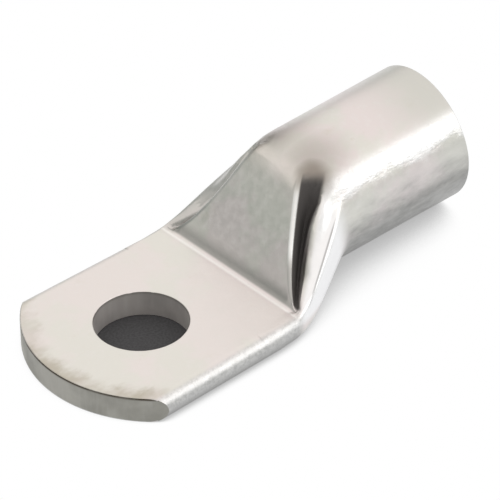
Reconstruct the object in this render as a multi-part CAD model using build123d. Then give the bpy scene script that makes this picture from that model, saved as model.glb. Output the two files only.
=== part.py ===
from build123d import *
import os
from math import cos, hypot, radians, sin, sqrt, tan

# Copper cable lug: one length of drawn and tinned tube. One end stays round and takes
# the cable, the other is pressed flat, cut to an arc and pierced for the bolt.
# The bolt hole stands on the origin, the underside lies on Z = 0 and the barrel opens
# towards +X. Lengths are in mm and angles in degrees.

# Tube
tube_diameter = 19.5
wall = 2.0

# Lengths along the lug: the whole of it, and distances from the axis of the bolt hole
overall_length = 66.3
tip_distance = 15.8
crease_distance = 16.2
cavity_start_distance = 17.8
round_start_distance = 29.6

# Palm
palm_half_width = 15.2
palm_taper = 1.6
tip_radius = 19.2
tip_shift = 0.4
tip_corner_radius = 1.3
bolt_hole_diameter = 13.0

# Pressed ramp, and the gutter and rib on each side of it
ramp_angle = 59.0
ramp_foot_half_width = 13.7
ramp_narrowing = 1.75
ramp_edge_curve = 0.6
ramp_edge_radius = 1.1
crease_radius = 1.6
crest_radius = 7.0
rib_inset = 1.45
rib_end_half_width = 7.8
rib_end_distance = 25.6
rib_start_rounding = 1.0
rib_end_rounding = 4.0
rib_depth = 4.2
rib_share = 0.55
rib_fold_angle = 45.0
rib_fold_turn = 28.0
rib_inner_slope = 35.0
gutter_growth = 24.0
gutter_corner = 0.5
gutter_width = 1.0
gutter_start_width = 1.5
gutter_wall_lean = 8.0
palm_flare_rounding = 7.0
barrel_flare_rounding = 1.5
fold_growth = 1.5

# Directions of an outline, as angles from the way across the lug, out from its middle
outward = 0.0
upward = 90.0
inward = 180.0
full_turn = 360.0

# Spaces between the sections of the pressed part, from one of its lines to the next
outside_spaces = [2, 3, 4, 6]
inside_spaces = [2, 3]

# Room between the sides of the palm and the outline that its tip is cut to
side_room = 0.05

# Values that follow from the sizes above
mouth_distance = overall_length - tip_distance
tube_radius = tube_diameter / 2
bore_radius = tube_radius - wall
palm_thickness = 2 * wall
fold_radius = palm_thickness / 2
ramp_run = (tube_diameter - palm_thickness) / tan(radians(ramp_angle))
ramp_slope = radians(ramp_angle)
foot_start = crease_distance - crease_radius * tan(ramp_slope / 2)
foot_end = foot_start + crease_radius * sin(ramp_slope)
crest_end = crease_distance + ramp_run + crest_radius * tan(ramp_slope / 2)
crest_start = crest_end - crest_radius * sin(ramp_slope)

# Shares of the ramp's length where its edges start and end their way into the round tube,
# and where the flat underside and the cavity start to turn round
edge_runout_start = 0.95
edge_runout_end = 1.12
floor_runout_start = 0.3
cavity_runout_start = 0.6

# Angles from the top of the round tube where the lines of the pressed part run out
floor_runout = 155.0
rib_fold_runout = 60.0
rib_runout = 52.0
rib_slope_runout = 46.0
gutter_runout = 40.0
ramp_side_runout = 33.0
ramp_edge_runout = 24.0


def ease(position, start, end):
    """Smooth step from 0 at the start to 1 at the end."""
    share = min(max((position - start) / (end - start), 0.0), 1.0)
    return share * share * (3 - 2 * share)


def glide(position, start, end, start_rounding, end_rounding):
    """Straight step from 0 at the start to 1 at the end, rounded over a length at each end."""
    length = end - start
    travelled = min(max(position - start, 0.0), length)
    left = length - travelled
    speed = 1 / (length - (start_rounding + end_rounding) / 2)
    if travelled < start_rounding:
        return speed * travelled**2 / (2 * start_rounding)
    if left < end_rounding:
        return 1 - speed * left**2 / (2 * end_rounding)
    return speed * (travelled - start_rounding / 2)


def hump(share):
    """Rise from 0 at the start to 1 in the middle, and back to 0 at the end."""
    return 1 - (2 * share - 1) ** 2


def mix(first, second, share):
    """Value between the first and the second, at a share of the way."""
    return first + (second - first) * share


def mix_nodes(first, second, share):
    """Node between two nodes: its place across, its height and its direction."""
    return tuple(mix(a, b, share) for a, b in zip(first, second))


def palm_edge(x):
    """Half width of the palm, whose sides open slightly towards the tip."""
    return palm_half_width - tan(radians(palm_taper)) * x


def ramp_height(x):
    """Height of the top on the centreline: palm, hollow foot, flat ramp, rounded crest."""
    if x <= foot_start:
        return palm_thickness
    if x < foot_end:
        return palm_thickness + crease_radius - sqrt(crease_radius**2 - (x - foot_start) ** 2)
    if x <= crest_start:
        return palm_thickness + (x - crease_distance) * tan(ramp_slope)
    if x < crest_end:
        return tube_diameter - crest_radius + sqrt(crest_radius**2 - (crest_end - x) ** 2)
    return tube_diameter


def round_node(angle, drop=0.0):
    """Place and direction of the round tube at an angle from its top, lowered by a drop."""
    turn = radians(angle)
    return (tube_radius * sin(turn), tube_radius * (1 + cos(turn)) - drop, inward - angle)


def fold_node(x, angle):
    """Place and direction of the folded edge of the palm at an angle from its top."""
    turn = radians(angle)
    across = palm_edge(x) - fold_radius + fold_radius * sin(turn)
    return (across, fold_radius * (1 + cos(turn)), inward - angle)


def outer_nodes(x):
    """Half of the outside section, from the middle of the underside to the middle of the top.

    Each node holds its place across, its height and the direction of the outline there."""
    flare_start = crease_distance - palm_flare_rounding / 2
    along = glide(x, flare_start, round_start_distance, palm_flare_rounding, barrel_flare_rounding)
    up_the_ramp = (x - crease_distance) / ramp_run
    merge = ease(up_the_ramp, edge_runout_start, edge_runout_end)
    floor_lift = ease(x, crease_distance + floor_runout_start * ramp_run, round_start_distance)
    top = ramp_height(x)
    rise = top - palm_thickness
    drop = tube_diameter - top
    started = min(rise / palm_thickness, 1.0)
    side = mix(palm_edge(x), tube_radius, along)
    fold = mix(fold_radius, tube_radius, along**fold_growth)
    rib_fold = mix_nodes(fold_node(x, rib_fold_angle), round_node(rib_fold_runout), along)
    rib_fold = (rib_fold[0], rib_fold[1], rib_fold[2] + rib_fold_turn * hump(along))
    rib_along = glide(x, crease_distance, rib_end_distance, rib_start_rounding, rib_end_rounding)
    rib_across = mix(palm_edge(x) - rib_inset, rib_end_half_width, rib_along)
    rib = (rib_across, top - min(rib_share * rise, rib_depth), inward)
    edge = ramp_foot_half_width - ramp_narrowing * rise**ramp_edge_curve
    edge = mix(rib_across - gutter_start_width, edge, started)
    gutter_up = palm_thickness + rise**2 / gutter_growth
    wall_direction = mix(inward, upward + gutter_wall_lean, started)
    rib_slope = (edge + gutter_width, gutter_up, inward + rib_inner_slope * started)
    gutter = (edge + gutter_corner, gutter_up + gutter_corner * started, wall_direction)
    ramp_side = (edge, top - ramp_edge_radius * started, wall_direction)
    ramp_edge = (edge - ramp_edge_radius, top, inward)
    return [
        (0.0, 0.0, outward),
        mix_nodes((side - fold, 0.0, outward), round_node(floor_runout), floor_lift),
        (side, fold, upward),
        rib_fold,
        mix_nodes(rib, round_node(rib_runout, drop), merge),
        mix_nodes(rib_slope, round_node(rib_slope_runout, drop), merge),
        mix_nodes(gutter, round_node(gutter_runout, drop), merge),
        mix_nodes(ramp_side, round_node(ramp_side_runout, drop), merge),
        mix_nodes(ramp_edge, round_node(ramp_edge_runout, drop), merge),
        (0.0, top, inward),
    ]


def inner_nodes(x):
    """Half of the section of the cavity, one wall inside the ramp and under the gutters."""
    outer = outer_nodes(x)
    side, rib_slope, gutter, ramp_edge, middle = outer[2], outer[5], outer[6], outer[8], outer[9]
    lift = tube_diameter - middle[1]
    ceiling = rib_slope[1] - wall
    fold = (ceiling - wall) / 2
    corner_up = mix(ceiling, middle[1] - wall, 0.5)
    flat = [
        (0.0, wall, outward),
        (side[0] - wall - fold, wall, outward),
        (side[0] - wall, wall + fold, upward),
        (rib_slope[0], ceiling, inward),
        (gutter[0] - wall, corner_up, gutter[2]),
        (ramp_edge[0] - wall, middle[1] - wall, inward),
        (0.0, middle[1] - wall, inward),
    ]
    opened = ease(x, crease_distance + cavity_runout_start * ramp_run, round_start_distance)
    runouts = [
        inward,
        floor_runout,
        upward,
        rib_runout,
        gutter_runout,
        ramp_edge_runout,
        outward,
    ]
    drops = [0.0, 0.0, 0.0, lift, lift, lift, lift]
    inner = []
    for node, angle, drop in zip(flat, runouts, drops):
        across, up, direction = round_node(angle, drop)
        turn = radians(direction)
        bore_node = (across - wall * sin(turn), up + wall * cos(turn), direction)
        inner.append(mix_nodes(node, bore_node, opened))
    return inner


def section(x, nodes):
    """Closed outline across the lug, made of smooth curves through the nodes of both halves."""
    mirrored = [(-across, up, full_turn - direction) for across, up, direction in nodes]
    loop = nodes + mirrored[-2::-1]
    edges = []
    for start, end in zip(loop[:-1], loop[1:]):
        bend = radians(abs(end[2] - start[2]))
        reach = hypot(end[0] - start[0], end[1] - start[1]) / (3 * cos(bend / 4) ** 2)
        points = [
            (x, start[0], start[1]),
            (x, start[0] + reach * cos(radians(start[2])), start[1] + reach * sin(radians(start[2]))),
            (x, end[0] - reach * cos(radians(end[2])), end[1] - reach * sin(radians(end[2]))),
            (x, end[0], end[1]),
        ]
        edges.append(Edge.make_bezier(*points))
    return Wire(edges)


def stations(lines, spaces):
    """Places along the lug, from line to line, with a number of equal spaces between two lines."""
    places = [lines[0]]
    for start, end, count in zip(lines[:-1], lines[1:], spaces):
        places += [mix(start, end, step / count) for step in range(1, count + 1)]
    return places


# Flat palm: a plate with a folded edge on each side
pressed_start = crease_distance - palm_flare_rounding
pressed_end = max(round_start_distance, crest_end)
palm_start = -tip_distance - wall
fold_start = Vector(palm_start, palm_edge(palm_start) - fold_radius, fold_radius)
fold_end = Vector(crease_distance, palm_edge(crease_distance) - fold_radius, fold_radius)
fold_line = fold_end - fold_start
folded_side = Solid.make_cylinder(fold_radius, fold_line.length, Plane(fold_start, z_dir=fold_line))
plate_outline = Polyline(
    (fold_start.X, -fold_start.Y),
    (fold_start.X, fold_start.Y),
    (fold_end.X, fold_end.Y),
    (fold_end.X, -fold_end.Y),
    close=True,
)
plate = extrude(make_face(plate_outline), palm_thickness)
palm = plate + folded_side + mirror(folded_side, Plane.XZ)

# Outline of the palm from above: an arc cut across the tip, and one rounded corner
tip_centre = tip_radius - tip_distance
sides = Polyline(
    (palm_start, -palm_edge(palm_start) - side_room),
    (palm_start, palm_edge(palm_start) + side_room),
    (pressed_start, palm_edge(pressed_start) + side_room),
    (pressed_start, -palm_edge(pressed_start) - side_room),
    close=True,
)
cut_outline = make_face(sides) & Pos(tip_centre, -tip_shift) * Circle(tip_radius)
tip_corners = cut_outline.vertices().sort_by(Axis.X)[:2]
cut_outline = fillet(tip_corners.sort_by(Axis.Y)[-1], tip_corner_radius)
palm = palm & extrude(cut_outline, palm_thickness)

# Pressed part between the palm and the round barrel: ramp, gutters, ribs and their cavity
outside_lines = [pressed_start, foot_start, foot_end, crest_start, pressed_end]
outside_stations = stations(outside_lines, outside_spaces)
pressed = Solid.make_loft([section(x, outer_nodes(x)) for x in outside_stations], ruled=True)
inside_lines = [cavity_start_distance, crest_start, pressed_end]
inside_stations = stations(inside_lines, inside_spaces)
cavity = Solid.make_loft([section(x, inner_nodes(x)) for x in inside_stations], ruled=True)

# Round barrel and its bore
mouthward = Plane((pressed_end, 0, tube_radius), z_dir=(1, 0, 0))
barrel_length = mouth_distance - pressed_end
barrel = Solid.make_cylinder(tube_radius, barrel_length, mouthward)
bore = Solid.make_cylinder(bore_radius, barrel_length, mouthward)

joint_tolerance = 0.002
body = pressed.fuse(palm, barrel, tol=joint_tolerance)
hollow = cavity.fuse(bore, tol=joint_tolerance)
bolt_hole = Cylinder(bolt_hole_diameter / 2, 2 * tube_diameter)
lug = body - hollow - bolt_hole

os.makedirs("parts", exist_ok=True)
export_step(lug, "parts/cable_lug.step")
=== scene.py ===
# %% [markdown]
# # A tinned copper cable lug
# The lug is one length of copper tube. One end stays round for the cable, the other is pressed
# flat for a bolt, and a coat of tin covers it all. The CAD model already holds the form, so it
# is loaded first as a fixed frame. Everything that follows gives it the skin of the real one.

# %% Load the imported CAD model
import bpy
from math import pi, radians, tan
from mathutils import Matrix, Vector


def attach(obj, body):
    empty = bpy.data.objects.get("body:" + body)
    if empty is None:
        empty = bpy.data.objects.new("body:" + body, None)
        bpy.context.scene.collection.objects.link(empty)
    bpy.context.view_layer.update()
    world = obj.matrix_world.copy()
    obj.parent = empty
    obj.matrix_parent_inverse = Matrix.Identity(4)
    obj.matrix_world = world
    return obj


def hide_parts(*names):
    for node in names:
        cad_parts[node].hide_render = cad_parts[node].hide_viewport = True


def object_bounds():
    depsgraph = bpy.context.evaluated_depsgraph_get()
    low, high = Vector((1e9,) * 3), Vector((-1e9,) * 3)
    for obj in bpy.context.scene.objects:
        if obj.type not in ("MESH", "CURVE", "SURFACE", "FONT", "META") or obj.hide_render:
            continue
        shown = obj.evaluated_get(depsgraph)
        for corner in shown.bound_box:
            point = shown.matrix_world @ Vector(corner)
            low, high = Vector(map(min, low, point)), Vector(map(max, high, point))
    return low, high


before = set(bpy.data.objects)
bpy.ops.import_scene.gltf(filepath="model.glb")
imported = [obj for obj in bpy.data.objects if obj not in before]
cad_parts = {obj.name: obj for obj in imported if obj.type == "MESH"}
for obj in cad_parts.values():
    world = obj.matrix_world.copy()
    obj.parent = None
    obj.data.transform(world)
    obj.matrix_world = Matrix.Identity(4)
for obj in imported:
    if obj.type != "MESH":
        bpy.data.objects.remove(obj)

MM = 0.001
cad_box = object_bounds()
print("CAD box in mm:", [[round(value / MM, 2) for value in corner] for corner in cad_box])

# %% [markdown]
# ## The lug's mesh
# The CAD mesh is a set of loose triangles. A copy of it is merged at its doubles, so that light
# runs smoothly over the pressed surfaces, and flat fields become single faces. The original
# stays as it is, because the frame is never changed.

# %% Copy the CAD mesh and merge its doubles
cad_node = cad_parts["cable_lug"]
lug = cad_node.copy()
lug.data = cad_node.data.copy()
lug.name = "lug"
bpy.context.scene.collection.objects.link(lug)
bpy.ops.object.select_all(action="DESELECT")
lug.select_set(True)
bpy.context.view_layer.objects.active = lug
merge_distance = 0.01 * MM
bpy.ops.object.mode_set(mode="EDIT")
bpy.ops.mesh.select_all(action="SELECT")
bpy.ops.mesh.remove_doubles(threshold=merge_distance)
bpy.ops.mesh.dissolve_degenerate(threshold=merge_distance)
bpy.ops.mesh.dissolve_limited(angle_limit=radians(0.3))
bpy.ops.object.mode_set(mode="OBJECT")
print("faces after the merge:", len(lug.data.polygons))

# %% [markdown]
# ## Even faces
# A long thin face shades in streaks. The palm and the straight barrel are cut across about every
# millimetre with the bisect tool, so that light turns evenly round them. A knife cut would do
# the same by hand, but bisect takes an exact plane.

# %% Cut the long faces across
palm_step = 1.1
barrel_step = 1.25
first_barrel_cut = 30.4
palm_cuts = [palm_step * step for step in range(-8, 9)]
barrel_cuts = [first_barrel_cut + barrel_step * step for step in range(16)]
bpy.ops.object.mode_set(mode="EDIT")
for place in palm_cuts + barrel_cuts:
    bpy.ops.mesh.select_all(action="SELECT")
    bpy.ops.mesh.bisect(plane_co=(place * MM, 0, 0), plane_no=(1, 0, 0))
bpy.ops.object.mode_set(mode="OBJECT")
print("faces after the cuts:", len(lug.data.polygons))

# %% [markdown]
# ## Soft run-outs
# On the real lug the gutters and the ribs fade softly into the round barrel, because the press
# only just reaches there. A smooth modifier with a vertex group relaxes that zone and leaves
# the rest alone. The group is strongest in the middle of the zone and fades to nothing.

# %% Ease the creases at the top of the ribs
runout_middle = 26.5
runout_reach = 3.5
lowest_runout = 7.0
inner_runout = 4.5


def in_runout(point):
    """Share from 0 to 1 by which a point lies where gutter and rib run into the barrel."""
    near = 1 - min(abs(point.x / MM - runout_middle) / runout_reach, 1)
    beside = point.z > lowest_runout * MM and abs(point.y) > inner_runout * MM
    return near if beside else 0.0


group = lug.vertex_groups.new(name="runout")
for vertex in lug.data.vertices:
    group.add([vertex.index], in_runout(vertex.co), "REPLACE")
easing = lug.modifiers.new("easing", "SMOOTH")
easing.vertex_group = "runout"
easing.factor = 0.5
easing.iterations = 6
bpy.ops.object.modifier_apply(modifier="easing")
print("points in the run-outs:", sum(in_runout(vertex.co) > 0 for vertex in lug.data.vertices))

# %% [markdown]
# ## Rims
# A sheared or sawn edge is never perfectly sharp, and its tiny round catches a line of light.
# Three rims need one: those of the bolt hole, the tip and the mouth. Three tests find them by
# place. The mouth is measured on the frame, and the other sizes are named here in millimetres.

# %% Tests for the rims
wall = 2.0
palm_thickness = 2 * wall
fold_radius = palm_thickness / 2
fold_reach = 1.7
hole_radius = 6.5
tip_radius = 19.2
tip_centre = (3.4, -0.4)
tip_end = -7
mouth = cad_box[1][0] / MM
mouth_slack = 0.02


def distance(point, x, y):
    """Distance in mm of a point from an upright line at x and y."""
    return ((point.x / MM - x) ** 2 + (point.y / MM - y) ** 2) ** 0.5


def on_hole(point, slack=0.03):
    """True on the wall of the bolt hole."""
    return abs(distance(point, 0, 0) - hole_radius) < slack


def on_tip(point, slack=0.03):
    """True on the arc across the tip."""
    at_end = point.x < tip_end * MM
    return at_end and abs(distance(point, *tip_centre) - tip_radius) < slack


def on_rim(point):
    """True on the rims of the bolt hole, the tip and the mouth."""
    on_flat = abs(point.z - fold_radius * MM) > fold_reach * MM
    on_mouth = point.x > (mouth - mouth_slack) * MM
    return on_hole(point) or on_tip(point) and on_flat or on_mouth


print("points on the rims:", sum(on_rim(vertex.co) for vertex in lug.data.vertices))

# %% [markdown]
# ## Weights on the rims
# The sharp edges are picked by their angle and then by place. Those of the rims get a bevel
# weight of one and all others none, and the bevel modifier of the next step reads that weight.

# %% Weigh the sharp edges
sharp_angle = radians(38)
bpy.ops.object.mode_set(mode="EDIT")
bpy.ops.mesh.select_mode(type="EDGE")
bpy.ops.mesh.select_all(action="DESELECT")
bpy.ops.mesh.edges_select_sharp(sharpness=sharp_angle)
bpy.ops.object.mode_set(mode="OBJECT")
weights = lug.data.attributes.new("bevel_weight_edge", "FLOAT", "EDGE")
for edge in lug.data.edges:
    ends = [lug.data.vertices[index].co for index in edge.vertices]
    weights.data[edge.index].value = 1.0 if edge.select and all(map(on_rim, ends)) else 0.0
print("edges on the rims:", sum(item.value > 0 for item in weights.data))

# %% [markdown]
# ## Soft rims and smooth faces
# The bevel rounds only the weighted edges, by a fifth of a millimetre. Everything that turns by
# less than 50 degrees is shaded smooth, so that the real edges stay edges.

# %% Round the rims
rim_width = 0.2 * MM
smooth_below = radians(50)
rim = lug.modifiers.new("rim", "BEVEL")
rim.width = rim_width
rim.segments = 3
rim.limit_method = "WEIGHT"
rim.use_clamp_overlap = False
bpy.ops.object.modifier_apply(modifier="rim")
bpy.ops.object.shade_smooth_by_angle(angle=smooth_below)
print("faces with the soft rims:", len(lug.data.polygons))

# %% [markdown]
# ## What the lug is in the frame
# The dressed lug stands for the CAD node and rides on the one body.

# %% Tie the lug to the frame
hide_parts("cable_lug")
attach(lug, "root")
print("dressed:", lug.name)

# %% [markdown]
# ## True directions
# Smooth shading guesses the direction of a surface from its faces, and on metal a small error
# shows as a smear. Where the form is exact the direction is known: straight up on the palm,
# across on its folded edges, straight out on the barrel, and so on. Those go to the corners of
# the faces as custom normals. The pressed part keeps the averaged ones.

# %% Directions of the exact surfaces
palm_half_width = 15.2
palm_taper = tan(radians(1.6))
palm_end = 12.6
fold_end = 10.6
loft_start = 8.5
barrel_start = 30.0
tube_radius = cad_box[1][2] / MM / 2
bore_radius = tube_radius - wall
flat_slack = 0.004
seam_slack = 0.05
round_slack = 0.02
loft_slack = 0.12


def known_directions(point):
    """Directions of the exact surfaces that meet at a point: palm, fold, hole, tip, barrel."""
    x, y, z = (value / MM for value in point)
    found = []
    beyond_fold = abs(y) - (palm_half_width - palm_taper * x - fold_radius)
    from_fold = (beyond_fold**2 + (z - fold_radius) ** 2) ** 0.5
    fold_slack = round_slack if x < loft_start else loft_slack
    on_palm = x < palm_end and beyond_fold < seam_slack
    if on_palm and abs(z - palm_thickness) < flat_slack:
        found.append(Vector((0, 0, 1)))
    if on_palm and abs(z) < flat_slack:
        found.append(Vector((0, 0, -1)))
    if x < fold_end and beyond_fold > 0 and abs(from_fold - fold_radius) < fold_slack:
        found.append(Vector((0, beyond_fold if y > 0 else -beyond_fold, z - fold_radius)))
    if on_hole(point):
        found.append(Vector((-x, -y, 0)))
    if on_tip(point):
        found.append(Vector((x - tip_centre[0], y - tip_centre[1], 0)))
    from_axis = (y**2 + (z - tube_radius) ** 2) ** 0.5
    if x > barrel_start and abs(from_axis - tube_radius) < round_slack:
        found.append(Vector((0, y, z - tube_radius)))
    if x > barrel_start and abs(from_axis - bore_radius) < round_slack:
        found.append(Vector((0, -y, tube_radius - z)))
    return [direction.normalized() for direction in found]


directions = [known_directions(vertex.co) for vertex in lug.data.vertices]
print("points with a known direction:", sum(len(found) > 0 for found in directions))

# %% [markdown]
# ## From points to faces
# A point on a rim belongs to two surfaces with two directions. Each face takes the one that is
# closest to its own, and leaves out those that point well away from it.

# %% Set the directions
close_enough = 0.7
normals = [corner.vector.copy() for corner in lug.data.corner_normals]
for face in lug.data.polygons:
    for corner in face.loop_indices:
        choice = directions[lug.data.loops[corner].vertex_index]
        choice = [item for item in choice if item.dot(face.normal) > close_enough]
        if choice:
            normals[corner] = max(choice, key=face.normal.dot)
lug.data.normals_split_custom_set(normals)
print("corners with a direction:", len(normals))

# %% [markdown]
# ## Helpers for node trees
# A material is a tree of nodes. Written out in full, each node takes several lines, so five
# small helpers add a node, a smooth step, a piece of arithmetic, a product and a colour blend.

# %% Helpers that add nodes and links
def add(tree, kind, inputs=None, **settings):
    """Adds a node, sets its properties, and sets or links its inputs by name or number."""
    node = tree.nodes.new(kind)
    for name, value in settings.items():
        setattr(node, name, value)
    for name, value in (inputs or {}).items():
        if isinstance(value, bpy.types.NodeSocket):
            tree.links.new(value, node.inputs[name])
        else:
            node.inputs[name].default_value = value
    return node


def ramp(tree, value, low, high, start=0.0, end=1.0):
    """Smooth step of a value: start up to low, end from high on."""
    values = {"Value": value, "From Min": low, "From Max": high, "To Min": start, "To Max": end}
    return add(tree, "ShaderNodeMapRange", values, interpolation_type="SMOOTHSTEP").outputs[0]


def calc(tree, operation, first, second):
    """Result of one piece of arithmetic on two values."""
    return add(tree, "ShaderNodeMath", {0: first, 1: second}, operation=operation).outputs[0]


def product(tree, first, *others):
    """Product of several masks: 1 only where all of them are 1."""
    for other in others:
        first = calc(tree, "MULTIPLY", first, other)
    return first


def blend(tree, share, first, second):
    """Colour between two colours, at a share of the way."""
    values = {"Factor": share, "A": first, "B": second}
    return add(tree, "ShaderNodeMix", values, data_type="RGBA").outputs["Result"]


print("helpers:", [helper.__name__ for helper in (add, ramp, calc, product, blend)])

# %% [markdown]
# ## Grain, a shared effect
# Clouds of tint, frosting, shear marks and felt fibres are all noise of some size. One node
# group makes it on the object's own coordinates. Every material but the floor's places it, with
# its own number of grains per metre and its own stretch.

# %% Grain group
def new_group(name, inputs, outputs):
    """An empty node group with named sockets, and the sockets of its two end nodes."""
    tree = bpy.data.node_groups.new(name, "ShaderNodeTree")
    for socket, kind in inputs.items():
        tree.interface.new_socket(socket, in_out="INPUT", socket_type=kind)
    for socket in outputs:
        tree.interface.new_socket(socket, in_out="OUTPUT", socket_type="NodeSocketFloat")
    given = tree.nodes.new("NodeGroupInput").outputs
    return tree, given, tree.nodes.new("NodeGroupOutput").inputs


number, vector = "NodeSocketFloat", "NodeSocketVector"
sockets = {"Grains per metre": number, "Detail": number, "Roughness": number, "Stretch": vector}
grain_group, given, made = new_group("grain", sockets, ["Height"])
point = add(grain_group, "ShaderNodeTexCoord").outputs["Object"]
spread = add(grain_group, "ShaderNodeMapping", {"Vector": point, "Scale": given["Stretch"]})
values = {"Vector": spread.outputs[0], "Scale": given["Grains per metre"]}
values.update({"Detail": given["Detail"], "Roughness": given["Roughness"]})
noise = add(grain_group, "ShaderNodeTexNoise", values)
grain_group.links.new(noise.outputs["Fac"], made["Height"])


def grain(tree, grains, detail=4.0, roughness=0.55, stretch=(1, 1, 1)):
    """Places the grain group in a tree and gives its height, from 0 to 1."""
    values = {"Grains per metre": grains, "Detail": detail, "Roughness": roughness}
    values["Stretch"] = stretch
    return add(tree, "ShaderNodeGroup", values, node_tree=grain_group).outputs["Height"]


print("nodes of the grain group:", len(grain_group.nodes))

# %% [markdown]
# ## The camera's two directions
# The photograph looks down on the lug from the side of its palm, from far away. Two directions
# hold that view: what is to the right and what is up in the picture. The camera stands by them
# at the end. The finish reads them too, because some marks are straight lines in that view.

# %% Name the directions of the view
view_right = Vector((0.7532, -0.6567, -0.0365))
view_up = Vector((0.4189, 0.4364, 0.7962))
view_back = view_right.cross(view_up)
print("towards the camera:", [round(value, 3) for value in view_back])

# %% [markdown]
# ## Places on the lug
# The next group tells where a point of the surface lies. Both sides of the lug have the same
# form, so it folds them onto one. The far side is only marked more faintly. It works in
# millimetres from the object's own coordinates, which stay the same from every side.

# %% Start the group of places
zone_names = ["Palm", "Tip stain", "Crest", "Gutter", "Ramp edge highlight", "Darker lower edge", "Stain"]
zone_names += ["Mouth end", "Band highlight", "Lower side", "Folded edge", "Fold highlight", "Rib highlight"]
zone_names += ["Fold line", "Far rib shade", "Crease", "Crease shade"]
places, _, zones_made = new_group("places", {}, zone_names)
point = add(places, "ShaderNodeTexCoord").outputs["Object"]
per_mm = (1 / MM, 1 / MM, 1 / MM)
in_mm = add(places, "ShaderNodeVectorMath", {0: point, 1: per_mm}, operation="MULTIPLY").outputs[0]
parts = add(places, "ShaderNodeSeparateXYZ", {0: in_mm}).outputs
along, height = parts["X"], parts["Z"]
sideways = calc(places, "ABSOLUTE", parts["Y"], 0.0)
folded = calc(places, "MULTIPLY", sideways, -1.0)
near_side = add(places, "ShaderNodeCombineXYZ", {0: along, 1: folded, 2: height}).outputs[0]
far_share = 0.15
fainter = ramp(places, parts["Y"], 0.0, 1.0, 1.0, far_share)
print("zones to place:", zone_names)

# %% [markdown]
# ## Soft borders
# Most marks lie between two soft borders, so a helper makes such a window from two smooth steps.
# Another tells how far a point lies to the right or up in the view. Two noises break the borders
# up: a ragged one that is drawn out along the lug, and a broad one.

# %% Windows, distances in the view and noise
def window(value, low, high, soft):
    """1 between two values and 0 outside them, with soft ends."""
    rise = ramp(places, value, low - soft, low + soft)
    fall = ramp(places, value, high - soft, high + soft, 1.0, 0.0)
    return product(places, rise, fall)


def seen(direction):
    """How far a point lies along a direction of the view, in mm."""
    values = {0: near_side, 1: direction}
    return add(places, "ShaderNodeVectorMath", values, operation="DOT_PRODUCT").outputs["Value"]


seen_right, seen_up = seen(view_right), seen(view_up)
ragged = calc(places, "SUBTRACT", grain(places, 420, 6, 0.65, (0.45, 1, 1)), 0.5)
broad = calc(places, "SUBTRACT", grain(places, 150, 3), 0.5)
print("nodes so far:", len(places.nodes))

# %% [markdown]
# ## Gutters
# The press folds the wall of the tube into a deep gutter on each side of the ramp, where hardly
# any light comes out again. The ramp's edge gives the inner border by the same formula as in
# the form. The outer border and the soft upper end are straight lines in the view.

# %% Distance from the ramp's edge
crease = 16.2
ramp_slope = tan(radians(59.0))
ramp_half_width = 13.7
ramp_height = 15.5
ramp_narrowing = 1.75
ramp_curve = 0.6
rise = calc(places, "MULTIPLY", calc(places, "SUBTRACT", along, crease), ramp_slope)
rise = calc(places, "MINIMUM", calc(places, "MAXIMUM", rise, 0.01), ramp_height)
narrowing = calc(places, "MULTIPLY", calc(places, "POWER", rise, ramp_curve), ramp_narrowing)
edge_gap = calc(places, "ADD", calc(places, "SUBTRACT", sideways, ramp_half_width), narrowing)
print("nodes so far:", len(places.nodes))

# %% [markdown]
# ## Darkness of the gutters
# The gutter widens upwards, and the rib beside it bounds it on the outside. Both borders are
# subtracted as distances, so that a smooth step can turn each one into a mask.

# %% Place the gutters
gutter_lean = 0.181
rib_gap = calc(places, "SUBTRACT", seen_right, calc(places, "MULTIPLY", seen_up, gutter_lean))
ragged_gap = calc(places, "ADD", rib_gap, calc(places, "MULTIPLY", ragged, 0.5))
upper_width = ramp(places, seen_up, 10.0, 24.0, 0.0, 2.0)
wall_gap = calc(places, "SUBTRACT", edge_gap, upper_width)
zones = {}
# The dark of the gutters is painted shade, fainter on the far side.
zones["Gutter"] = product(
    places,
    fainter,
    ramp(places, edge_gap, -0.25, 0.05),
    ramp(places, wall_gap, 1.0, 2.0, 1.0, 0.0),
    ramp(places, ragged_gap, 20.0, 20.7, 1.0, 0.0),
    ramp(places, seen_up, 21.4, 23.6, 1.0, 0.0),
    ramp(places, along, 16.3, 16.9),
    ramp(places, height, 3.0, 3.6),
)
print("nodes so far:", len(places.nodes))

# %% [markdown]
# ## Palm and crease
# The palm was pressed flat and is a little brighter than the rest. Where it meets the ramp runs a
# bright crease, a painted highlight, with a painted shade above it. Each of these is a product of
# smooth steps along, across and up the lug.

# %% Place the palm and the crease
above_palm = ramp(places, height, palm_thickness - 0.3, palm_thickness - 0.05)
zones["Palm"] = product(places, above_palm, ramp(places, along, 14.5, 15.5, 1.0, 0.0))
# Painted highlight along the crease.
zones["Crease"] = product(
    places,
    window(along, 15.35, 15.7, 0.22),
    above_palm,
    ramp(places, sideways, 13.4, 14.2, 1.0, 0.0),
)
zones["Crease shade"] = product(
    places,
    ramp(places, along, 15.9, 16.3),
    ramp(places, along, 16.4, 17.7, 1.0, 0.0),
    above_palm,
    ramp(places, edge_gap, -0.6, -0.1, 1.0, 0.0),
)
print("nodes so far:", len(places.nodes))
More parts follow.
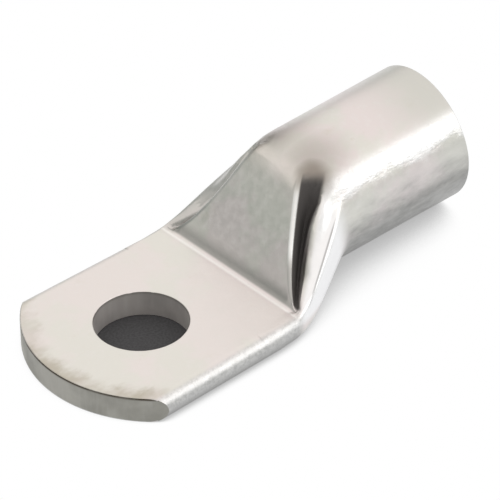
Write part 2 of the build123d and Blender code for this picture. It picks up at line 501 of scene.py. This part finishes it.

# %% [markdown]
# ## Crest and edges of the ramp
# The ramp's edges get a painted highlight, and low down they are painted darker. Towards its crest
# the ramp bends up to the ceiling and gets lighter, and a slow step over its height paints that
# highlight in.

# %% Place the crest and the ramp's edges
# Painted highlight towards the crest, where the ramp faces the ceiling.
zones["Crest"] = product(
    places,
    ramp(places, height, 11.5, 19.0),
    ramp(places, along, 24.5, 26.5, 1.0, 0.0),
    ramp(places, edge_gap, -1.2, -0.2, 1.0, 0.0),
)
# Painted highlight along the ramp's edges.
zones["Ramp edge highlight"] = product(
    places,
    fainter,
    window(edge_gap, -0.95, -0.05, 0.12),
    window(seen_up, 11.0, 20.8, 1.2),
    ramp(places, along, 17.0, 18.0),
    ramp(places, height, 5.0, 6.0),
)
# The ramp's edges are painted darker low down.
zones["Darker lower edge"] = product(
    places,
    window(edge_gap, -0.95, 0.05, 0.15),
    ramp(places, seen_up, 9.0, 13.0, 1.0, 0.0),
    ramp(places, along, 16.4, 17.0),
    above_palm,
)
print("nodes so far:", len(places.nodes))

# %% [markdown]
# ## Stains
# Where each gutter ends, the heat of the pressing left a brown stain that fades up the barrel.
# It is dark in a small round and pale in a larger one, and slow noise breaks up both borders.

# %% Place the stains
def around(place, near, far, share):
    """A soft round patch: a share of the stain inside near, nothing outside far."""
    values = {0: near_side, 1: place}
    gap = add(places, "ShaderNodeVectorMath", values, operation="DISTANCE").outputs["Value"]
    gap = calc(places, "ADD", gap, calc(places, "MULTIPLY", broad, 1.6))
    return ramp(places, gap, near, far, share, 0.0)


gutter_top = (26.6, -5.5, 17.9)
above_gutter = (27.9, -3.6, 18.8)
stain_core = around(gutter_top, 0.8, 4.4, 0.95)
stain_halo = around(above_gutter, 0.0, 8.0, 0.5)
zones["Stain"] = calc(places, "MAXIMUM", stain_core, stain_halo)
print("nodes so far:", len(places.nodes))

# %% [markdown]
# ## Stain along the tip
# The shear left an olive stain on the palm along the arc of the tip. It is measured inwards from
# the arc, seen from above, and the ragged noise pulls it out into short tongues.

# %% Place the stain along the tip
tongue_length = 6.0
from_above = add(places, "ShaderNodeCombineXYZ", {0: along, 1: folded}).outputs[0]
values = {0: from_above, 1: (tip_centre[0], 0, 0)}
from_centre = add(places, "ShaderNodeVectorMath", values, operation="DISTANCE").outputs["Value"]
tip_gap = calc(places, "SUBTRACT", tip_radius, from_centre)
tip_gap = calc(places, "ADD", tip_gap, calc(places, "MULTIPLY", ragged, tongue_length))
zones["Tip stain"] = product(
    places,
    ramp(places, tip_gap, 0.0, 2.8, 1.0, 0.0),
    ramp(places, broad, -0.1, 0.1, 0.4, 1.0),
    ramp(places, along, -8.0, -6.0, 1.0, 0.0),
    above_palm,
)
print("nodes so far:", len(places.nodes))

# %% [markdown]
# ## Ribs
# The near rib gets a painted highlight, and a fine dark line is painted down it along the fold.
# The far rib gets a painted shade, so that it stays dull.

# %% Place the ribs and their fold line
# Painted highlight on the near rib.
zones["Rib highlight"] = product(
    places,
    fainter,
    ramp(places, rib_gap, 20.1, 21.0),
    ramp(places, edge_gap, 0.0, 0.6),
    window(along, 15.0, 27.5, 1.8),
    ramp(places, height, 2.0, 3.5),
)
# Painted shade on the far rib.
zones["Far rib shade"] = product(
    places,
    ramp(places, parts["Y"], 0.0, 1.0),
    ramp(places, edge_gap, -1.2, -0.8),
    window(along, 16.0, 26.0, 1.5),
    above_palm,
)
line_lean = 0.303
line_place = 20.85
line_gap = calc(places, "SUBTRACT", seen_right, calc(places, "MULTIPLY", seen_up, line_lean))
line_gap = calc(places, "ABSOLUTE", calc(places, "SUBTRACT", line_gap, line_place), 0.0)
zones["Fold line"] = product(
    places,
    ramp(places, line_gap, 0.02, 0.22, 1.0, 0.0),
    window(seen_up, 6.0, 16.5, 1.5),
    window(along, 15.5, 27.0, 1.0),
    ramp(places, height, 2.5, 4.0),
)
print("nodes so far:", len(places.nodes))

# %% [markdown]
# ## Folded edges
# The folded edges of the palm rubbed on the die and are frosted, and a painted highlight runs
# along the upper part of each fold. Both start at a distance beyond the line where the flat palm
# begins to turn down.

# %% Place the folded edges and their streak
beyond_fold = calc(places, "SUBTRACT", sideways, palm_half_width - fold_radius)
beyond_fold = calc(places, "ADD", beyond_fold, calc(places, "MULTIPLY", along, palm_taper))
before_ramp = ramp(places, along, 15.0, 17.0, 1.0, 0.0)
zones["Folded edge"] = product(places, ramp(places, beyond_fold, 0.6, 1.4), before_ramp)
on_fold = ramp(places, beyond_fold, 0.3, 0.8)
# Painted highlight along the upper part of each fold.
zones["Fold highlight"] = product(places, window(height, 2.95, 3.65, 0.28), on_fold, before_ramp)
print("nodes so far:", len(places.nodes))

# %% [markdown]
# ## Barrel
# Along the barrel runs a frosted band with a painted highlight, which ends in a ragged line. The
# side below it gets painted shade, and the end at the mouth is duller. An arctangent gives the
# angle round the barrel, and noise tears the border of the band.

# %% Place the band and the duller parts of the barrel
tear = 0.75
turned = calc(places, "ARCTAN2", sideways, calc(places, "SUBTRACT", height, tube_radius))
torn = calc(places, "ADD", turned, calc(places, "MULTIPLY", ragged, tear))
on_barrel = ramp(places, along, 25.5, 29.5)
band_start = ramp(places, turned, 0.66, 0.88)
# Painted highlight in the band, where the soft box is mirrored.
zones["Band highlight"] = product(places, band_start, ramp(places, torn, 0.98, 1.16, 1.0, 0.0), on_barrel)
# Painted shade on the lower side of the barrel, which faces the floor.
zones["Lower side"] = product(places, ramp(places, torn, 1.15, 1.95), on_barrel)
above_side = ramp(places, turned, 0.75, 1.3, 1.0, 0.4)
zones["Mouth end"] = product(places, ramp(places, along, 38.0, 49.0), above_side)
for name, mask in zones.items():
    places.links.new(mask, zones_made[name])
print("nodes in the group of places:", len(places.nodes))

# %% [markdown]
# ## Tin plate
# Tin over copper is a satin silver with a warm tint. Large clouds shift it between a yellowish
# and a pinkish white, fine dimples lighten it, and handling leaves a faint brown patina.

# %% Colour of the tin plate
tin = bpy.data.materials.new("tinned_copper")
tin.use_nodes = True
tree = tin.node_tree
shader = tree.nodes["Principled BSDF"]
zone = add(tree, "ShaderNodeGroup", node_tree=places).outputs
cloud = grain(tree, 110, 5)
fine = grain(tree, 900, 6, 0.6)
frost = grain(tree, 1900, 5, 0.7)
patina = grain(tree, 300, 7, 0.7)
drawn = grain(tree, 520, 6, 0.65, (0.45, 1, 1))
yellowish = (0.703, 0.696, 0.652, 1)
pinkish = (0.745, 0.689, 0.68, 1)
silver = (0.80, 0.79, 0.78, 1)
brown = (0.62, 0.57, 0.49, 1)
tint = blend(tree, ramp(tree, cloud, 0.42, 0.58), yellowish, pinkish)
tint = blend(tree, ramp(tree, fine, 0.45, 0.75, 0.0, 0.3), tint, silver)
tint = blend(tree, ramp(tree, patina, 0.56, 0.74, 0.0, 0.3), tint, brown)
print("nodes of the tin plate:", len(tree.nodes))

# %% [markdown]
# ## Frosted tin, painted shade and painted highlights
# Three of the zones aren't one tone. The lower side of the barrel is painted shade, drawn out in
# streaks, the folds are speckled and get painted shade towards the floor, and their streak is a
# painted highlight, nearly white.

# %% Tones of the frosted and worn tin
point = add(tree, "ShaderNodeTexCoord").outputs["Object"]
height = add(tree, "ShaderNodeSeparateXYZ", {0: point}).outputs["Z"]
streaks = ramp(tree, drawn, 0.35, 0.65)
# Painted shade of the barrel's lower side, drawn out in streaks.
lower_side_shade = blend(tree, streaks, (0.27, 0.27, 0.262, 1), (0.37, 0.37, 0.362, 1))
speckles = ramp(tree, frost, 0.35, 0.65)
speckle_and_shade = blend(tree, speckles, (0.46, 0.46, 0.455, 1), (0.61, 0.61, 0.605, 1))
# Painted shade on the folds towards the floor.
floor_shade = ramp(tree, height, 0.4 * MM, 2.7 * MM, 0.85, 0.0)
speckle_and_shade = blend(tree, floor_shade, speckle_and_shade, (0.26, 0.26, 0.255, 1))
# Painted highlight on the streak of each fold.
fold_highlight_grain = ramp(tree, frost, 0.3, 0.6)
fold_highlight = blend(tree, fold_highlight_grain, (0.72, 0.72, 0.715, 1), (0.95, 0.95, 0.95, 1))
print("nodes of the tin plate:", len(tree.nodes))

# %% [markdown]
# ## Coats of the zones
# Every zone lies over the tin as a coat with a strength and a colour. A table of them keeps the
# order in sight, because a later coat covers an earlier one. The stain and the gutter come last.

# %% Lay the coats over the tin
# Painted light among the coats: highlights on the crest, band, rib, fold, ramp edge and crease,
# and shade on the lower side, far rib, folds near the floor, crease and gutter.
coats = [
    ("Palm", 0.3, (0.80, 0.785, 0.74, 1)),
    ("Tip stain", 0.7, (0.40, 0.36, 0.28, 1)),
    ("Crest", 0.65, (0.88, 0.845, 0.80, 1)),
    ("Mouth end", 0.8, (0.60, 0.60, 0.565, 1)),
    ("Lower side", 1.0, lower_side_shade),
    ("Band highlight", 1.0, (0.84, 0.84, 0.84, 1)),
    ("Rib highlight", 1.0, (0.90, 0.90, 0.91, 1)),
    ("Fold line", 0.7, (0.30, 0.30, 0.30, 1)),
    ("Folded edge", 1.0, speckle_and_shade),
    ("Fold highlight", 0.8, fold_highlight),
    ("Ramp edge highlight", 1.0, (0.92, 0.92, 0.91, 1)),
    ("Darker lower edge", 0.85, (0.42, 0.42, 0.405, 1)),
    ("Far rib shade", 0.6, (0.47, 0.47, 0.45, 1)),
    ("Crease", 0.65, (0.93, 0.93, 0.91, 1)),
    ("Crease shade", 0.9, (0.31, 0.31, 0.295, 1)),
    ("Stain", 0.92, (0.25, 0.215, 0.185, 1)),
    ("Gutter", 1.0, (0.085, 0.079, 0.077, 1)),
]
for name, strength, colour in coats:
    tint = blend(tree, calc(tree, "MULTIPLY", zone[name], strength), tint, colour)
tree.links.new(tint, shader.inputs["Base Color"])
print("coats:", [name for name, strength, colour in coats])

# %% [markdown]
# ## Sheen of the tin plate
# The tin is a little rougher where it is frosted. In the gutters the painted shade also takes the
# metallic look away. Three bumps of falling size lie over each other: frosting, dimples and a fine
# grain.

# %% Roughness and bump of the tin plate
rough = ramp(tree, fine, 0.3, 0.7, 0.30, 0.40)
frosted = calc(tree, "MULTIPLY", zone["Folded edge"], ramp(tree, frost, 0.3, 0.7, 0.0, 0.25))
rough = calc(tree, "ADD", rough, frosted)
rough = calc(tree, "MAXIMUM", rough, calc(tree, "MULTIPLY", zone["Gutter"], 0.8))
tree.links.new(rough, shader.inputs["Roughness"])
tree.links.new(calc(tree, "SUBTRACT", 1.0, zone["Gutter"]), shader.inputs["Metallic"])
shader.inputs["Specular IOR Level"].default_value = 0.15
frosting = calc(tree, "MULTIPLY", frost, calc(tree, "ADD", zone["Folded edge"], zone["Band highlight"]))
layers = [(grain(tree, 5200, 3, 0.6), 0.25, 0.02), (fine, 0.35, 0.06), (frosting, 0.6, 0.12)]
values = {}
for relief, strength, depth in layers:
    values.update({"Height": relief, "Strength": strength, "Distance": depth * MM})
    values["Normal"] = add(tree, "ShaderNodeBump", values).outputs[0]
tree.links.new(values["Normal"], shader.inputs["Normal"])
print("nodes of the tin plate:", len(tree.nodes))

# %% [markdown]
# ## Sheared faces
# The tip was sheared and the bolt hole punched after the pressing, so both walls are matt, with
# fine marks that run down them. A painted shadow of the burr runs as a thin dark line along the
# upper edge. One function makes both materials, each with its own tones.

# %% Materials of the sheared faces
def sheared(name, light, dark, metallic, line):
    """A matt sheared face with marks that run down it and a painted shadow line along its top
    edge.
    """
    material = bpy.data.materials.new(name)
    material.use_nodes = True
    tree = material.node_tree
    shader = tree.nodes["Principled BSDF"]
    marks = grain(tree, 900, 4, 0.6, (1, 1, 0.15))
    cloud = grain(tree, 160, 3)
    point = add(tree, "ShaderNodeTexCoord").outputs["Object"]
    height = add(tree, "ShaderNodeSeparateXYZ", {0: point}).outputs["Z"]
    tint = blend(tree, ramp(tree, cloud, 0.35, 0.65), dark, light)
    tint = blend(tree, ramp(tree, marks, 0.4, 0.7, 0.0, 0.25), tint, (0.60, 0.59, 0.57, 1))
    # Painted shadow of the burr along the top edge, broken up by the cloud.
    burr_shadow = calc(tree, "MULTIPLY", ramp(tree, cloud, 0.3, 0.5, 0.35, 1.0), line)
    at_top = ramp(tree, height, (palm_thickness - 0.55) * MM, (palm_thickness - 0.2) * MM)
    tint = blend(tree, product(tree, at_top, burr_shadow), tint, (0.06, 0.045, 0.03, 1))
    tree.links.new(tint, shader.inputs["Base Color"])
    tree.links.new(ramp(tree, marks, 0.3, 0.7, 0.5, 0.65), shader.inputs["Roughness"])
    shader.inputs["Metallic"].default_value = metallic
    bump = add(tree, "ShaderNodeBump", {"Height": marks, "Strength": 0.4, "Distance": 0.05 * MM})
    tree.links.new(bump.outputs[0], shader.inputs["Normal"])
    return material


cut = sheared("cut_face", (0.40, 0.393, 0.362, 1), (0.29, 0.286, 0.26, 1), 0.8, 1.0)
pierced = sheared("pierced_face", (0.47, 0.445, 0.43, 1), (0.38, 0.36, 0.35, 1), 0.3, 0.3)
print("sheared faces:", cut.name, pierced.name)

# %% [markdown]
# ## Materials on the faces
# Most of the lug keeps the tin plate. An upright face on the arc of the tip gets the cut
# material, and one on the wall of the hole the pierced one.

# %% Give each face its material
lug.data.materials.clear()
for material in (tin, cut, pierced):
    lug.data.materials.append(material)
for face in lug.data.polygons:
    if abs(face.normal.z) < 0.3:
        at_tip = on_tip(face.center, 0.1)
        at_hole = on_hole(face.center, 0.1)
        face.material_index = 1 if at_tip else 2 if at_hole else 0
print("sheared faces:", sum(face.material_index > 0 for face in lug.data.polygons))

# %% [markdown]
# ## Floor
# The lug lies on a plain white floor. The floor shows white to the camera and in the metal, and
# darkens close to the lug, where less light reaches it. That contact shadow comes from ambient
# occlusion, so the background stays white while the lug keeps its ground.

# %% Floor
bpy.ops.object.select_all(action="DESELECT")
floor_width = 3.0
floor_drop = 0.02 * MM
bpy.ops.mesh.primitive_plane_add(size=floor_width, location=(0, 0, -floor_drop))
floor = bpy.context.object
floor.name = "floor"
paper = bpy.data.materials.new("paper")
paper.use_nodes = True
tree = paper.node_tree
shader = tree.nodes["Principled BSDF"]
shader.inputs["Roughness"].default_value = 0.8
shader.inputs["Base Color"].default_value = (0.85, 0.85, 0.85, 1)
path = add(tree, "ShaderNodeLightPath").outputs
looked_at = calc(tree, "MAXIMUM", path["Is Camera Ray"], path["Is Glossy Ray"])
looked_at = calc(tree, "MAXIMUM", looked_at, path["Is Transmission Ray"])
shadow_reach = 16 * MM
near = add(tree, "ShaderNodeAmbientOcclusion", {"Distance": shadow_reach}, samples=16)
open_sky = ramp(tree, near.outputs["AO"], 0.10, 0.62)
white = blend(tree, open_sky, (0.45, 0.45, 0.45, 1), (1, 1, 1, 1))
glow = add(tree, "ShaderNodeEmission", {"Color": white, "Strength": 1.0})
values = {0: looked_at, 1: shader.outputs[0], 2: glow.outputs[0]}
mixed = add(tree, "ShaderNodeMixShader", values)
tree.links.new(mixed.outputs[0], tree.nodes["Material Output"].inputs[0])
floor.data.materials.append(paper)
print("floor width in m:", round(floor.dimensions.x, 2))

# %% [markdown]
# ## What shows through the hole
# In the photograph the ground under the bolt hole is nearly black. A thin disc of dark felt under
# the palm stands in for it as painted shade seen through the hole. It is part of the stage and not
# of the lug.

# %% Felt disc under the bolt hole
bpy.ops.object.select_all(action="DESELECT")
disc_radius = 8.5 * MM
disc_drop = 0.01 * MM
# A dark disc as painted shade under the bolt hole.
bpy.ops.mesh.primitive_circle_add(vertices=64, radius=disc_radius, fill_type="NGON")
hole_shade_disc = bpy.context.object
hole_shade_disc.name = "hole_shade_disc"
hole_shade_disc.location.z = -disc_drop
felt = bpy.data.materials.new("felt")
felt.use_nodes = True
tree = felt.node_tree
shader = tree.nodes["Principled BSDF"]
fibres = ramp(tree, grain(tree, 3000), 0.3, 0.7)
tint = blend(tree, fibres, (0.052, 0.052, 0.055, 1), (0.075, 0.075, 0.079, 1))
tree.links.new(tint, shader.inputs["Base Color"])
shader.inputs["Roughness"].default_value = 0.9
hole_shade_disc.data.materials.append(felt)
print("disc across in mm:", round(hole_shade_disc.dimensions.x / MM, 1))

# %% [markdown]
# ## Room
# Metal shows the room round it. A bright ceiling makes the palm and the top of the barrel
# nearly white, and darker walls make the ramp grey, as in the photograph. The colour depends on
# how high a direction points. On the side of the mouth the light reaches further down.

# %% Room light
world = bpy.data.worlds.new("room")
bpy.context.scene.world = world
world.use_nodes = True
tree = world.node_tree
direction = add(tree, "ShaderNodeTexCoord").outputs["Generated"]
direction = add(tree, "ShaderNodeSeparateXYZ", {0: direction}).outputs
lifted = calc(tree, "ADD", direction["Z"], ramp(tree, direction["X"], 0.2, 0.5, 0.0, 0.25))
ceiling = ramp(tree, lifted, 0.15, 0.60)
sky = blend(tree, ceiling, (0.40, 0.43, 0.405, 1), (1.07, 1.035, 1.005, 1))
tree.links.new(sky, tree.nodes["Background"].inputs["Color"])
print("room nodes:", len(tree.nodes))

# %% [markdown]
# ## Soft box
# One long soft box stands beside the barrel. Its reflection is the white band along the barrel
# and on the ribs. The direction is the one in which the camera's view is mirrored there.

# %% Soft box
lug_middle = Vector((0.015, 0, 0.008))


def soft_box(name, towards, reach, width, height, strength):
    """An area lamp in a direction from the lug that faces the lug."""
    lamp = bpy.data.lights.new(name, "AREA")
    lamp.shape = "RECTANGLE"
    lamp.size = width
    lamp.size_y = height
    lamp.energy = strength * width * height * pi
    box = bpy.data.objects.new(name, lamp)
    direction = Vector(towards).normalized()
    box.location = lug_middle + direction * reach
    box.rotation_euler = direction.to_track_quat("Z", "Y").to_euler()
    bpy.context.scene.collection.objects.link(box)
    return box


beside = (0.49, -0.77, 0.42)
side_box = soft_box("side_box", beside, reach=0.9, width=0.8, height=0.26, strength=1.5)
print("soft box at:", [round(value, 2) for value in side_box.location])

# %% [markdown]
# ## Camera
# The photograph has almost no perspective, so the camera stands far off with a long lens. The
# lens follows from the distance and from the width of the picture at the lug.

# %% Camera at the photo's angle
aim = Vector((15.08, -5.47, 11.08)) * MM
reach = 2.8
picture_width = 67.15 * MM
lens = bpy.data.cameras.new("camera")
lens.sensor_width = 36
lens.lens = lens.sensor_width * reach / picture_width
lens.clip_start = 0.01
camera = bpy.data.objects.new("camera", lens)
bpy.context.scene.collection.objects.link(camera)
turn = Matrix((view_right, view_up, view_back)).transposed().to_4x4()
camera.matrix_world = Matrix.Translation(aim + view_back * reach) @ turn
bpy.context.scene.camera = camera
bpy.context.scene.view_settings.view_transform = "Standard"
print("lens in mm:", round(lens.lens))
